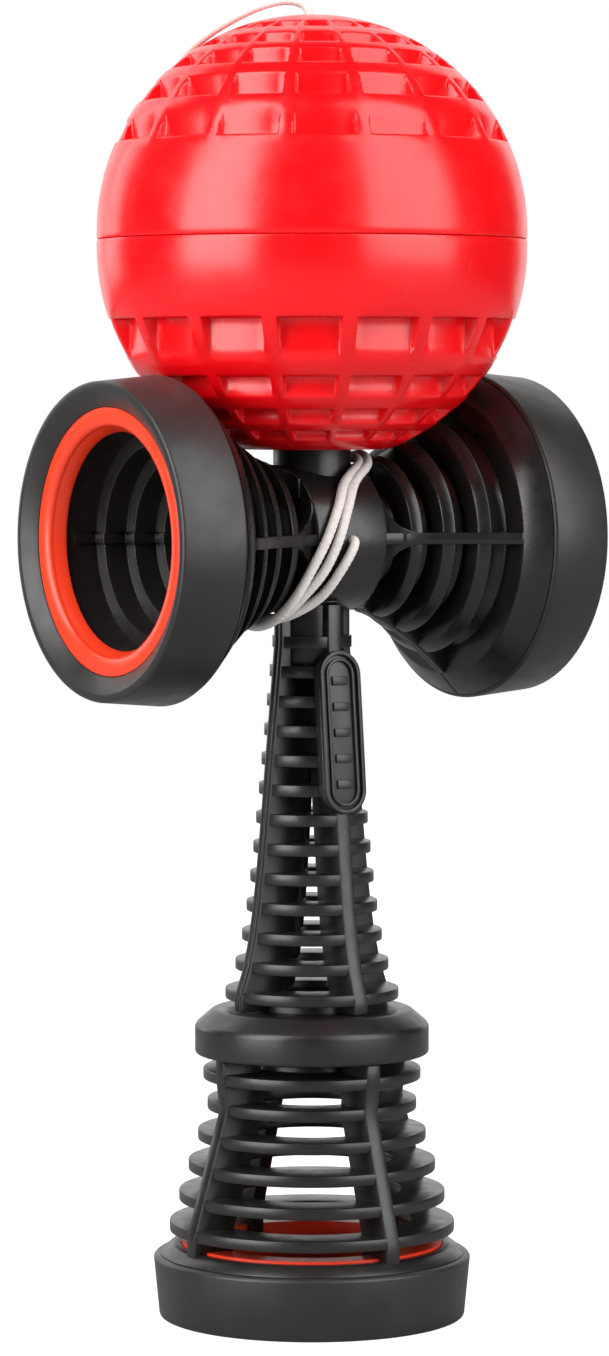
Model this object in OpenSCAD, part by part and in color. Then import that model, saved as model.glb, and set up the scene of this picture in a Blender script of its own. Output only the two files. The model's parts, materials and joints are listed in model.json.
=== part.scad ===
// A ball-and-cup skill toy: a ribbed handle with three cups and a spike, and a ball on a string.
// +Z is up, the origin is at the middle of the base's underside, the cross piece lies along X
// with its small cup at -X, and the string leaves the handle on the -Y side.

/* [Ball] */
// Diameter of the ball
ball_d = 61.6; // [56:0.2:76]
// Height of the straight belt between the two half spheres
belt_h = 2.4; // [0.8:0.2:5]
// Thickness of the ball's shells
shell_wall = 3.6; // [3.2:0.2:5]
// Radius of the flat round the ball's main hole
flat_r = 11.1; // [10.6:0.1:14]
// Radius of the main hole inside the ball's tube
tube_r = 9; // [7:0.1:9.4]
// Thickness of the ball's inner tube
tube_wall = 1.2; // [1:0.1:1.5]
// Radius of the small hole in the ball's top
top_hole_r = 2.2; // [1.6:0.1:3]
// Radius of the flat round the small hole
top_flat_r = 3.9; // [3.2:0.1:6]
// Number of pockets in each row
pocket_count = 16; // [12:1:20]
// Angle taken by the rib between two pockets
pocket_rib_angle = 4.3; // [2:0.1:8]

/* [Handle] */
// Height of the cross piece's axis above the base
cross_z = 112.4; // [106:0.2:135]
// Height of the highest shaft ring
shaft_top_z = 97.6; // [92:0.2:98.4]
// Height of the lowest shaft ring
shaft_low_z = 46.9; // [46:0.1:48]
// Number of shaft rings
shaft_rings = 13; // [9:1:14]
// Radius of the highest shaft ring
shaft_r = 5.7; // [5.2:0.1:5.9]
// How much the shaft widens evenly towards the collar
shaft_taper = 4.7; // [3:0.1:5.4]
// How much the shaft flares just above the collar
shaft_flare = 2.1; // [0.5:0.1:3]
// Thickness of each ring of the handle
ring_t = 1.66; // [1.2:0.02:2]
// Depth of the handle's rings from their outer edge
ring_depth = 6.3; // [4.5:0.1:7]
// Width of the handle's four long ribs
rib_w = 2.2; // [1.4:0.1:3]
// Outer radius of the collar
collar_r = 16.9; // [15:0.1:20]
// Height of the collar's underside
collar_z = 38.1; // [37.4:0.1:38.6]
// Height of the collar's straight band
collar_band_h = 4.3; // [3:0.1:4.8]
// Height of the collar's sloping shoulder
collar_slope_h = 2.3; // [1.5:0.1:2.6]
// Radius of the highest base ring
base_top_r = 15.7; // [14:0.1:17]
// Radius at the base's waist
waist_r = 15.1; // [13.6:0.1:16.4]
// Number of base rings
base_rings = 6; // [4:1:6]

/* [Spike] */
// Radius of the spike's neck
neck_r = 5.6; // [4.6:0.1:5.8]
// Radius of the spike's rounded tip
tip_r = 2.6; // [1.6:0.1:3.4]
// Height of the spike's tip above the cross piece's axis
spike_len = 52.6; // [40:0.2:56]

/* [Cross piece] */
// Half the length of the cross piece
cross_half = 36; // [34:0.2:44]
// Radius of the barrel between the cups
barrel_r = 10.5; // [9.8:0.1:12.6]
// Half the width of the plain barrel
barrel_half = 6; // [5:0.1:6.6]
// Number of fins behind each cup
fin_count = 3; // [1:1:4]
// Thickness of each fin
fin_t = 1.6; // [1.1:0.1:2]
// Depth of the fins from their outer edge
fin_depth = 4; // [3:0.1:4.4]
// Width of the cross piece's long ribs
cross_rib_w = 1.7; // [1.2:0.1:2.6]
// Radius of the round window in the barrel for the string
string_window_r = 2.35; // [2:0.05:3]

/* [Rims] */
// Width of the rubber rims of the two side cups
rim_w = 10.1; // [8:0.1:11]
// Width of the rubber rim of the base
base_rim_w = 9.1; // [7:0.1:9.4]
// Outer radius of the big cup's rim at its back
big_rim_r = 23.9; // [23.4:0.1:28]
// Outer radius of the small cup's rim at its back
small_rim_r = 23.3; // [22.8:0.1:28]
// Outer radius of the base's rim at its back
base_rim_r = 22.9; // [22.6:0.1:27]
// How much each rim narrows towards its mouth
rim_taper = 0.8; // [0:0.1:1.4]
// Outer radius of the coloured mouth rings
ring_out_r = 18.8; // [17.6:0.1:19.2]
// Inner radius of the coloured mouth rings
ring_in_r = 15.2; // [14.6:0.1:16.2]
// Length of the side cups' mouth rings, along the cross piece
ring_len = 3.8; // [3.6:0.1:6]

/* [Badge] */
// Length of the badge plate
badge_len = 23.4; // [16:0.1:26]
// Width of the badge plate
badge_w = 7; // [5:0.1:8]
// Thickness of the badge plate
badge_t = 2; // [1.5:0.1:2.5]

/* [String] */
// Diameter of the string
string_d = 1.4; // [1:0.05:1.4]
// Radius of the bead inside the ball
bead_r = 4.4; // [3:0.1:5]
// Radius of the red grommet in the string window
grommet_r = 1.75; // [1.4:0.05:1.9]

/* [Hidden] */
$fn = 96;
eps = 0.01;
fit_gap = 0.05;         // between pieces that are fixed to each other
free_gap = 0.3;         // between the ball and what it turns in or on
cut = 200;              // size of the blocks that cut pieces in half
seam_chamfer = 0.35;    // along the joint between the ball's shells

// Handle
shaft_pitch = (shaft_top_z - shaft_low_z) / (shaft_rings - 1);
shaft_heights = [for (i = [0:shaft_rings - 1]) shaft_top_z - i * shaft_pitch];
collar_top_z = collar_z + collar_band_h + collar_slope_h;
collar_bore_r = 8.2;    // the handle's middle stands in the collar
collar_shoulder_r = 14.2;
flange_h = 1.5;
flange_top_z = base_rim_w + flange_h;
base_first_z = collar_z - 2.8;
base_last_z = flange_top_z + 2.6;
base_pitch = (base_first_z - base_last_z) / (base_rings - 1);
base_heights = [for (i = [0:base_rings - 1]) base_first_z - i * base_pitch];
base_slope = 0.31;      // how fast the base widens below its waist
rib_proud = 0.2;        // how far long ribs stand out from rings and fins
shoulder_z = cross_z - sqrt(pow(barrel_r, 2) - pow(shaft_r + 0.6, 2)) - 0.7;
foot_r = 3.4;
foot_len = 8;
socket_wall = 1.2;
function shaft_outer(z) = let (t = (shaft_top_z - z) / (shaft_top_z - shaft_low_z))
    shaft_r + shaft_taper * max(0, t) + shaft_flare * pow(max(0, t), 8);
function base_outer(z) = z > base_first_z - eps ? base_top_r
    : waist_r + base_slope * (base_first_z - base_pitch - z);
function ring_inner(r) = max(0, r - ring_depth);
hub_r = ring_inner(shaft_outer(shaft_low_z));
hub_top_z = collar_z + 3;

// Cross piece, measured outwards along its axis
cup_start = 8;
cup_start_r = barrel_r + 0.1;
cup_slope = 0.32;
cup_curve = 0.0222;
rim_back = cross_half - rim_w;
sleeve_r = ring_out_r + fit_gap;
sleeve_out_r = sleeve_r + 1.4;
lip_w = 2.6;            // front of the rim that covers the sleeve's end
dish = 1.6;             // how deep the rims' fronts slope down to the mouth rings
cup_floor = 12;
bowl_wall = 1.3;
bowl_top = cross_half - 9.4;
bowl_steps = 4;
bore_r = ring_in_r + 0.4;
flange_start = rim_back - 3.1;
mouth_step = 0.4;       // how far the mouth rings stand back from the rims
ring_back = cross_half - mouth_step - ring_len;
fin_pitch = (flange_start - barrel_half - 4.4) / fin_count;
fin_places = [for (i = [1:fin_count]) flange_start - (fin_count + 1 - i) * fin_pitch];
function cup_outer(x) = let (d = max(0, x - cup_start))
    cup_start_r + cup_slope * d + cup_curve * d * d;
function bowl_outer(x) = cup_outer(x) - fin_depth;
floor_r = bowl_outer(cup_floor) - bowl_wall;
steps = [for (i = [0:bowl_steps]) [cup_floor + i * (bowl_top - cup_floor) / bowl_steps,
    floor_r + i * (bore_r - floor_r) / bowl_steps]];

// Ball, which rests just clear of the rims of both side cups
ball_r = ball_d / 2;
belt = belt_h / 2;
flat_h = sqrt(pow(ball_r, 2) - pow(flat_r, 2));
rest_edges = concat([[rim_back, big_rim_r], [rim_back, small_rim_r]],
    [for (x = concat(fin_places, [flange_start, rim_back])) [x, cup_outer(x)]]);
function touch_height(x, r) = ball_r + free_gap > x ? r + sqrt(pow(ball_r + free_gap, 2) - x * x) : 0;
low_centre_z = cross_z + max(concat([barrel_r + string_d + 2 * free_gap + flat_h],
    [for (e = rest_edges) touch_height(e[0], e[1])]));
seam_z = low_centre_z + belt;
high_centre_z = seam_z + belt;
inner_r = ball_r - shell_wall;
upper_rows = [[24.1, 30.7], [36.4, 43.6], [48, 54.2], [57.4, 62.6], [67, 72]];
lower_rows = [[19.3, 30.7], [36.4, 43.6], [48, 54.2], [57.4, 62.6]];
pocket_start = 1.4;     // turns the ribs to where they stand round the ball
top_flat_h = sqrt(pow(ball_r, 2) - pow(top_flat_r, 2));
tube_out_r = tube_r + tube_wall;
tube_low_z = low_centre_z - flat_h + 0.8;
tube_high_z = high_centre_z + sqrt(pow(inner_r, 2) - pow(tube_out_r, 2)) - fit_gap;
tongue_h = 2;
tongue_w = 1.5;

// String: turns round the barrel, then up behind the ball to its top
cord_r = string_d / 2;
turn_step = 22.5;       // angle between two places in the list below
turn_x = [-2.2, -3.9, -6.1, -6.8, -6.6, -4.8, -2.4, 0.5, 3.2, 5.6, 7.5, 8.3,
    6.6, 1.9, -1, -3.1, -5, -7, -8.2, -8.3, -8.1, -6.2, -3.7, -1, 1.8, 4.2, 6, 6.8,
    5.1, 0.2, -2.7, -5.2, -7.3, -8.9, -9.7, -9.8, -9.4, -7.4, -4.8, -3.1];
function wrap_r(x) = barrel_r + cord_r + 0.25 + 0.4 * max(0, abs(x) + cord_r - cup_start);
function wrap_point(i) = let (x = turn_x[i], r = wrap_r(x), a = (i + 1) * turn_step)
    [x, -r * cos(a), cross_z - r * sin(a)];
wrap_route = concat(
    [[0, 0.8, cross_z], [0, -4, cross_z], [0, 0.9 - barrel_r, cross_z],
        [-0.4, -barrel_r - 0.8, cross_z - 0.8]],
    [for (i = [0:len(turn_x) - 1]) wrap_point(i)]);
tail_points = [[-3.1, barrel_r + 1.01, 112.7],
    [-3.1, 12.3, 116.6], [-3.5, 14.8, 121.4], [-4.2, 18.3, 126], [-5.2, 21.8, 130.2],
    [-6.2, 25, 134.6], [-7.4, 27.9, 139.4], [-8.4, 29.8, 144.4], [-9.2, 30.8, 149.6],
    [-9.8, 30.9, 155], [-10.4, 30.4, 160.4], [-11, 28.9, 165.6], [-11.5, 26.4, 170.4],
    [-11.9, 23.2, 174.9], [-12, 19.3, 178.9], [-11.6, 15, 182.1], [-10.5, 10.7, 184.6],
    [-8.8, 6.8, 186.6], [-6.4, 3.8, 188.2], [-3.6, 1.8, 189], [-1.4, 0.6, 188.6], [-0.3, 0.1, 187.1],
    [0, 0, 184.8], [0, 0, 181], [0, 0, 177.6], [0, 0, 174]];
tail_route = [for (p = tail_points) [p[0], p[1], p[2] + seam_z - 155.01]];
bead_z = seam_z + 23;
knot_z = bead_z - 5.6;

// Small helpers
module half(front) {
    intersection() {
        children();
        translate([-cut / 2, front ? -cut : 0, -cut / 2]) cube([cut, cut, 2 * cut]);
    }
}

module band(r_in, r_out, low, high) {
    translate([r_in, low]) square([r_out - r_in, high - low]);
}

module side_plate(width) {
    rotate([90, 0, 0]) linear_extrude(width, center = true) children();
}

// Turns a piece made along +Z, mouth up, so that it lies along the cross piece
module on_cross(side) {
    translate([0, 0, cross_z]) rotate([0, 90 * side, 0]) children();
}

function unit(v) = v / norm(v);
function tangent(p, i) = unit(p[min(i + 1, len(p) - 1)] - p[max(i - 1, 0)]);
function carried(v, t) = unit(v - (v * t) * t);
function frames(p, i, v) = i == len(p) ? []
    : let (t = tangent(p, i), n = carried(v, t)) concat([n], frames(p, i + 1, n));

module cord(p, sides = 8) {
    normals = frames(p, 0, [0.3, 0.2, 1]);
    rings = [for (i = [0:len(p) - 1], k = [0:sides - 1])
        let (t = tangent(p, i), n = normals[i], b = cross(t, n), a = 360 * k / sides)
        p[i] + cord_r * (cos(a) * n + sin(a) * b)];
    last = (len(p) - 1) * sides;
    walls = [for (i = [0:len(p) - 2], k = [0:sides - 1]) let (m = (k + 1) % sides)
        [i * sides + k, (i + 1) * sides + k, (i + 1) * sides + m, i * sides + m]];
    ends = [[for (k = [0:sides - 1]) k], [for (k = [sides - 1:-1:0]) last + k]];
    polyhedron(rings, concat(walls, ends), convexity = 10);
}

// Handle
module rib_outline(heights, radii, top, low) {
    outer = [for (i = [0:len(heights) - 1]) [radii[i] + rib_proud, heights[i]]];
    inner = [for (i = [len(heights) - 1:-1:0]) [ring_inner(radii[i]), heights[i]]];
    n = len(heights) - 1;
    polygon(concat([[radii[0] + rib_proud, top]], outer, [[radii[n] + rib_proud, low]],
        [[ring_inner(radii[n]), low]], inner, [[ring_inner(radii[0]), top]]));
}

module shaft_body() {
    radii = [for (z = shaft_heights) shaft_outer(z)];
    difference() {
        union() {
            rotate_extrude() {
                for (z = shaft_heights)
                    band(ring_inner(shaft_outer(z)), shaft_outer(z), z - ring_t / 2, z + ring_t / 2);
                band(0, foot_r + socket_wall, shoulder_z - foot_len - socket_wall, shoulder_z);
                // the shaft's end, which stands in the collar
                band(hub_r, collar_bore_r - fit_gap, hub_top_z + fit_gap, shaft_low_z);
            }
            for (a = [0:90:270]) rotate(a) side_plate(rib_w)
                rib_outline(shaft_heights, radii, shoulder_z, collar_top_z + fit_gap);
        }
        translate([0, 0, shoulder_z - foot_len]) cylinder(r = foot_r + fit_gap, h = foot_len + 1);
        badge_block(fit_gap);
    }
}

module shaft_front() {
    color("#1d1b1b") half(true) shaft_body();
}

module shaft_back() {
    color("#1d1b1b") half(false) shaft_body();
}

module base_cage() {
    radii = [for (z = base_heights) base_outer(z)];
    color("#1d1b1b") difference() {
        union() {
            rotate_extrude() {
                for (z = base_heights)
                    band(ring_inner(base_outer(z)), base_outer(z), z - ring_t / 2, z + ring_t / 2);
                // the hub that stands in the collar, and the ring that carries it
                band(hub_r, collar_bore_r - fit_gap, base_first_z - ring_t / 2, hub_top_z);
                band(hub_r, base_top_r, base_first_z - ring_t / 2, base_first_z + ring_t / 2);
                polygon([[sleeve_r, lip_w], [sleeve_out_r, lip_w], [sleeve_out_r, base_rim_w + fit_gap],
                    [base_rim_r - 0.8, base_rim_w + fit_gap], [base_rim_r - 2.6, flange_top_z],
                    [sleeve_r, flange_top_z]]);
            }
            for (a = [0:90:270]) rotate(a) side_plate(rib_w)
                rib_outline(base_heights, radii, collar_z - fit_gap, flange_top_z - 1);
        }
        translate([0, 0, -eps]) cylinder(r = sleeve_r, h = flange_top_z + 1);
    }
}

module collar_ring() {
    color("#1a1818") rotate_extrude() polygon([
        [collar_bore_r, collar_z], [collar_r - 0.4, collar_z], [collar_r, collar_z + 0.4],
        [collar_r, collar_z + collar_band_h], [collar_shoulder_r, collar_top_z],
        [collar_bore_r, collar_top_z]]);
}

// Badge plate, laid against the front rib along the shaft's slope
badge_mid_z = shaft_top_z - 12.9;
badge_tilt = atan((shaft_outer(badge_mid_z - badge_len / 2) - shaft_outer(badge_mid_z + badge_len / 2))
    / badge_len);
badge_back = shaft_outer(badge_mid_z) - 0.7;

module badge_shape(inset) {
    run = badge_len - badge_w;
    square([badge_w - 2 * inset, run], center = true);
    for (s = [-1, 1]) translate([0, s * run / 2]) circle(r = badge_w / 2 - inset);
}

module badge_place() {
    translate([0, -badge_back, badge_mid_z]) rotate([90 - badge_tilt, 0, 0]) children();
}

module badge_block(extra) {
    badge_place() translate([0, 0, -extra]) linear_extrude(badge_t + 3) badge_shape(-extra);
}

module badge_plate() {
    bars = 5;
    bar_gap = (badge_len - badge_w) / (bars - 1);
    color("#262323") badge_place() union() {
        difference() {
            linear_extrude(badge_t) badge_shape(0);
            translate([0, 0, badge_t - 0.4]) linear_extrude(1) difference() {
                badge_shape(0.7);
                badge_shape(1.1);
            }
            translate([0, 0, badge_t - 0.5]) linear_extrude(1) badge_shape(1.6);
        }
        for (i = [0:bars - 1]) translate([0, (i - (bars - 1) / 2) * bar_gap, badge_t - 0.6])
            linear_extrude(0.5) square([badge_w - 4.4, 1.1], center = true);
    }
}

// Spike, whose foot stands in the handle's socket
module spike() {
    tip_z = cross_z + spike_len - tip_r;
    neck_top_z = cross_z + barrel_r + 3;
    color("#201e1e") difference() {
        union() {
            rotate_extrude() {
                band(0, foot_r, shoulder_z - foot_len + 0.2, shoulder_z + 1);
                polygon([[0, shoulder_z + fit_gap], [neck_r, shoulder_z + fit_gap], [neck_r, neck_top_z],
                    [tip_r, tip_z], [0, tip_z]]);
            }
            translate([0, 0, tip_z]) sphere(r = tip_r);
        }
        translate([0, 0, cross_z]) rotate([90, 0, 0]) cylinder(r = grommet_r + fit_gap, h = neck_r + 1);
        translate([0, -eps, cross_z]) rotate([-90, 0, 0]) cylinder(r = 2.3, h = neck_r + 1);
    }
}

// Cross piece
module cup_section(rim_r) {
    band(bowl_outer(cup_start) - 2, bowl_outer(cup_start), barrel_half - 1, cup_start + eps);
    polygon(concat([[0, barrel_half - 1], [bowl_outer(cup_start), barrel_half - 1]],
        [for (x = [cup_start:2.5:flange_start]) [bowl_outer(x), x]],
        [[bowl_outer(flange_start), flange_start + 0.4], [0, flange_start + 0.4]]));
    for (x = fin_places) polygon([
        [bowl_outer(x) - 0.6, x - fin_t / 2], [cup_outer(x - fin_t / 2), x - fin_t / 2],
        [cup_outer(x + fin_t / 2), x + fin_t / 2], [bowl_outer(x) - 0.6, x + fin_t / 2]]);
    polygon([[0, flange_start], [cup_outer(flange_start), flange_start],
        [min(rim_r - 0.3, cup_outer(rim_back)), rim_back - fit_gap], [sleeve_out_r, rim_back - fit_gap],
        [sleeve_out_r, cross_half - lip_w], [0, cross_half - lip_w]]);
}

module bowl_section() {
    for (step = steps) band(0, step[1], step[0], cross_half);
    band(0, sleeve_r, ring_back - fit_gap, cross_half);
}

module rib_gusset() {
    reach = cup_start + 3.2 - barrel_half;
    round_r = reach - 0.2;
    wide = cross_rib_w / 2 + round_r;
    difference() {
        translate([barrel_half - 0.5, -wide]) square([reach + 0.5, 2 * wide]);
        for (s = [-1, 1]) translate([barrel_half + reach, s * (cross_rib_w / 2 + round_r)])
            circle(r = round_r);
    }
}

module cup_side(rim_r) {
    difference() {
        union() {
            rotate_extrude() cup_section(rim_r);
            for (a = [0:90:270]) rotate(a) side_plate(cross_rib_w) polygon(concat(
                [[bowl_outer(cup_start) - 0.8, barrel_half - 0.6],
                 [barrel_r, barrel_half - 0.6], [barrel_r, cup_start]],
                [for (x = [cup_start + 2.4:2.4:flange_start]) [cup_outer(x) + rib_proud, x]],
                [[cup_outer(flange_start), flange_start + 0.2],
                 [bowl_outer(flange_start) - 0.8, flange_start + 0.2]]));
            // where the long ribs spread into the barrel
            intersection() {
                rotate_extrude() polygon([[bowl_outer(cup_start) - 1, barrel_half - 0.6],
                    [barrel_r, barrel_half - 0.6], [cup_start_r, cup_start], [cup_start_r + 1.8, cup_start + 4],
                    [bowl_outer(cup_start) - 1, cup_start + 4]]);
                for (a = [0:90:270]) rotate(a) rotate([0, -90, 0]) translate([0, 0, -barrel_r - 3])
                    linear_extrude(barrel_r + 3 - bowl_outer(cup_start) + 1) rib_gusset();
            }
        }
        rotate_extrude() bowl_section();
    }
}

module cross_body() {
    difference() {
        union() {
            on_cross(1) cylinder(r = barrel_r, h = 2 * barrel_half, center = true);
            on_cross(1) cup_side(big_rim_r);
            on_cross(-1) cup_side(small_rim_r);
        }
        translate([0, 0, cross_z - barrel_r - 1]) cylinder(r = neck_r + fit_gap, h = 2 * barrel_r + 2);
        translate([0, 0, cross_z - barrel_r - 1])
            cylinder(r = shaft_r + 0.6, h = shoulder_z - cross_z + barrel_r + 1.6);
        translate([0, 0, cross_z]) rotate([90, 0, 0]) cylinder(r = string_window_r, h = barrel_r + 1);
    }
}

module cross_front() {
    color("#1f1d1d") half(true) cross_body();
}

module cross_back() {
    color("#1f1d1d") half(false) cross_body();
}

// Rubber rims and coloured rings, made with their mouth up
module rim(back_r, width) {
    soft = 0.5;
    mouth_r = back_r - rim_taper;
    rotate_extrude() polygon([
        [sleeve_out_r + fit_gap, 0], [back_r - soft, 0], [back_r, soft], [mouth_r, width - soft],
        [mouth_r - soft, width], [mouth_r - soft - 0.9, width], [ring_out_r + fit_gap, width - dish],
        [ring_out_r + fit_gap, width - lip_w + fit_gap], [sleeve_out_r + fit_gap, width - lip_w + fit_gap]]);
}

module mouth_ring(length) {
    lip_r = min(ring_out_r - ring_in_r, length - 0.2);
    rotate_extrude() {
        band(ring_in_r, ring_out_r, 0, length - lip_r);
        intersection() {
            translate([ring_out_r, length - lip_r]) circle(r = lip_r);
            band(ring_in_r, ring_out_r, length - lip_r, length);
        }
    }
}

module small_cup_rim() {
    color("#191717") on_cross(-1) translate([0, 0, rim_back]) rim(small_rim_r, rim_w);
}

module big_cup_rim() {
    color("#191717") on_cross(1) translate([0, 0, rim_back]) rim(big_rim_r, rim_w);
}

module base_cup_rim() {
    color("#191717") translate([0, 0, base_rim_w]) rotate([180, 0, 0]) rim(base_rim_r, base_rim_w);
}

module small_cup_ring() {
    color("#ff4326") on_cross(-1) translate([0, 0, ring_back]) mouth_ring(ring_len);
}

module big_cup_ring() {
    color("#ff4326") on_cross(1) translate([0, 0, ring_back]) mouth_ring(ring_len);
}

module base_cup_ring() {
    top_z = flange_top_z + 0.3;
    color("#ff4326") translate([0, 0, top_z]) rotate([180, 0, 0]) mouth_ring(top_z - mouth_step);
}

module string_grommet() {
    color("#ff3a20") translate([0, 0, cross_z]) rotate([90, 0, 0]) difference() {
        translate([0, 0, 2]) cylinder(r = grommet_r, h = 7.4);
        translate([0, 0, 1]) cylinder(r = cord_r + fit_gap, h = 9);
    }
}

// Ball
module pockets(rows, up) {
    width = 360 / pocket_count - pocket_rib_angle;
    for (row = rows, k = [0:pocket_count - 1]) {
        back_r = ball_r * cos(row[1]);
        floor_h = ball_r * sin(row[0]);
        rotate(pocket_start + (k + 0.5) * 360 / pocket_count - width / 2)
            rotate_extrude(angle = width)
                translate([back_r, up ? floor_h : -floor_h - ball_r])
                    square([ball_r + 1 - back_r, ball_r]);
    }
}

// Outline of half the ball, in the plane that is spun; dir is 1 above the seam and -1 below it
module half_outline(r, dir) {
    intersection() {
        translate([0, dir * belt]) circle(r = r);
        translate([0, dir > 0 ? belt : -belt - 2 * r]) square([2 * r, 2 * r]);
    }
    translate([0, dir > 0 ? 0 : -belt]) square([r, belt]);
}

module ball_upper_shell() {
    color("#f01818") translate([0, 0, seam_z]) difference() {
        rotate_extrude() difference() {
            half_outline(ball_r, 1);
            half_outline(inner_r, 1);
            translate([0, -1]) square([top_hole_r, ball_r + 5]);
            translate([0, belt + top_flat_h]) square([ball_r, 5]);
            polygon([[ball_r - seam_chamfer, -eps], [ball_r + eps, -eps], [ball_r + eps, seam_chamfer]]);
        }
        translate([0, 0, belt]) pockets(upper_rows, true);
    }
    color("#f01818") translate([0, 0, seam_z]) rotate_extrude()
        polygon([[inner_r + fit_gap, -tongue_h], [inner_r + tongue_w, -tongue_h],
            [inner_r + tongue_w, belt], [inner_r - 0.6, belt], [inner_r - 0.6, 0]]);
}

module ball_lower_shell() {
    color("#ee1616") translate([0, 0, seam_z]) difference() {
        rotate_extrude() difference() {
            half_outline(ball_r, -1);
            half_outline(inner_r, -1);
            translate([0, -ball_r - 5]) square([tube_out_r + fit_gap, ball_r + 6]);
            translate([0, -belt - flat_h - 5]) square([ball_r, 5]);
            translate([0, -tongue_h - fit_gap]) square([inner_r + tongue_w + fit_gap, tongue_h + 1]);
            polygon([[ball_r - seam_chamfer, eps], [ball_r + eps, eps], [ball_r + eps, -seam_chamfer]]);
        }
        translate([0, 0, -belt]) pockets(lower_rows, false);
    }
}

module ball_tube() {
    color("#e01414") rotate_extrude() polygon([
        [tube_r + 0.9, tube_low_z - 0.8], [tube_out_r, tube_low_z - 0.8], [tube_out_r, tube_high_z],
        [tube_r, tube_high_z], [tube_r, tube_low_z + 0.1]]);
}

// String and what holds its ends
module string_wraps() {
    color("#f3efe9") cord(wrap_route);
}

module string_tail() {
    color("#f3efe9") cord(tail_route);
}

module handle_knot() {
    color("#f3efe9") translate([0, 2.4, cross_z]) sphere(r = 2.1, $fn = 24);
}

module ball_bead() {
    color("#c99a5f") translate([0, 0, bead_z]) difference() {
        intersection() {
            sphere(r = bead_r);
            cylinder(r = bead_r, h = 7, center = true);
        }
        cylinder(r = cord_r + 0.2, h = 3 * bead_r, center = true);
    }
}

module ball_knot() {
    color("#f3efe9") translate([0, 0, knot_z]) sphere(r = 2, $fn = 24);
}

shaft_front();
shaft_back();
base_cage();
collar_ring();
spike();
cross_front();
cross_back();
small_cup_rim();
big_cup_rim();
base_cup_rim();
small_cup_ring();
big_cup_ring();
base_cup_ring();
badge_plate();
string_grommet();
ball_upper_shell();
ball_lower_shell();
ball_tube();
string_wraps();
handle_knot();
string_tail();
ball_bead();
ball_knot();
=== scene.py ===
"""Kendama dresser: soft edges, rubber rims, a braided string, moulded finishes and a small studio."""

import json
import math

import bmesh
import bpy
from mathutils import Matrix, Vector


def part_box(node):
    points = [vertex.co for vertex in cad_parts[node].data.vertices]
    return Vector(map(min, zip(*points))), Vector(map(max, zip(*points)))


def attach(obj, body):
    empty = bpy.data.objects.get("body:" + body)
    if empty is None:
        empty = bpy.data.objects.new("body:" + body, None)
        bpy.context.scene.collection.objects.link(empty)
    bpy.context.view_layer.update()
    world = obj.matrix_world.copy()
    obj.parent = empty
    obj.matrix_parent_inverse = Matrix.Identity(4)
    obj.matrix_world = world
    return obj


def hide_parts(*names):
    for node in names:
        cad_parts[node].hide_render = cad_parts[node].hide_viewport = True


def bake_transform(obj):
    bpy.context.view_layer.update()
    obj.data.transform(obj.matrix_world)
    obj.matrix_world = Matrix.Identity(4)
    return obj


bl_info = {
    "name": "Kendama Dresser",
    "version": (1, 0, 0),
    "blender": (4, 5, 0),
    "location": "View3D > Sidebar > Kendama",
    "description": "Models the soft edges, rims, badge and string of a kendama and gives every piece its finish",
    "category": "Object",
}

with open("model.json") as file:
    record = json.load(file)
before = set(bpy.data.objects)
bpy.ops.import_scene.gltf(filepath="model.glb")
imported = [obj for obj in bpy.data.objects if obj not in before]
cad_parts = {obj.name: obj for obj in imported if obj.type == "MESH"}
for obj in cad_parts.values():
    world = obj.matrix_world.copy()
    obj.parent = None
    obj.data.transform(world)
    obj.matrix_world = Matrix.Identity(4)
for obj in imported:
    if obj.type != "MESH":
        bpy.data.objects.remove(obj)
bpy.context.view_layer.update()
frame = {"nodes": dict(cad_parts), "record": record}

MM = 0.001

# The frame's sizes, in millimetres and degrees. SKIN keeps a dressed piece just inside the solid it stands for
SKIN = 0.02
SEAM_GAP = 0.01
CROSS_Z = 112.4
BARREL_R = 10.5

# Shaft, base cage and badge
SHAFT_TOP, SHAFT_LOW, SHAFT_RINGS, SHOULDER_Z = 97.6, 46.9, 13, 103.0
SHAFT_R, SHAFT_TAPER, SHAFT_FLARE = 5.7, 4.7, 2.1
RING_THICK, RING_DEPTH, RIB_HALF = 1.64, 6.3, 1.1
HUB_R, HUB_OUT_R = 6.22, 8.13
SOCKET_R, SOCKET_OUT_R = 3.46, 4.58
BASE_FIRST, BASE_LAST, BASE_RINGS = 35.3, 13.2, 6
BASE_TOP_R, WAIST_R, BASE_SLOPE = 15.7, 15.1, 0.31
BADGE_Z, BADGE_BACK, BADGE_TILT = 84.7, 6.2, 5.3
BADGE_END_R, BADGE_RUN, BAR_PITCH = 3.48, 8.2, 3.7

# Cups, measured outwards from the middle of the cross piece
CUP_START, FIN_DEPTH, FIN_HALF, FIN_PLACES = 8, 4, 0.78, (10.4, 14.53, 18.67)
CUP_FLOOR, BOWL_STEP, BOWL_STEPS, BOWL_TOP, BORE_R = 12, 3.65, 4, 26.6, 15.6
FLANGE_START, RIM_BACK, CROSS_RIB_HALF = 22.8, 25.9, 0.85
SEAT_R, SLEEVE_R, SEAT_START, SLEEVE_END = 18.87, 20.23, 31.77, 33.38
SMALL_RIM_R, BIG_RIM_R, BASE_RIM_R = 23.3, 23.9, 22.9
RIM_W, BASE_RIM_W, RIM_DISH, RIM_LIP = 10.1, 9.1, 1.6, 2.52
MOUTH_RING_IN_R, MOUTH_RING_OUT_R, MOUTH_RING_LEN, MOUTH_RING_BACK = 15.36, 18.78, 3.8, 31.8
BASE_RING_LEN, BASE_RING_TOP = 10.5, 10.9

# Ball
BALL_R, BALL_INNER_R, SEAM_STEP = 30.78, 27.2, 1.18
POCKETS, POCKET_RIB, POCKET_START = 16, 4.3, 1.4
UPPER_ROWS = ((24.1, 30.7), (36.4, 43.6), (48, 54.2), (57.4, 62.6), (67, 72))
LOWER_ROWS = ((19.3, 30.7), (36.4, 43.6), (48, 54.2), (57.4, 62.6))

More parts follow.
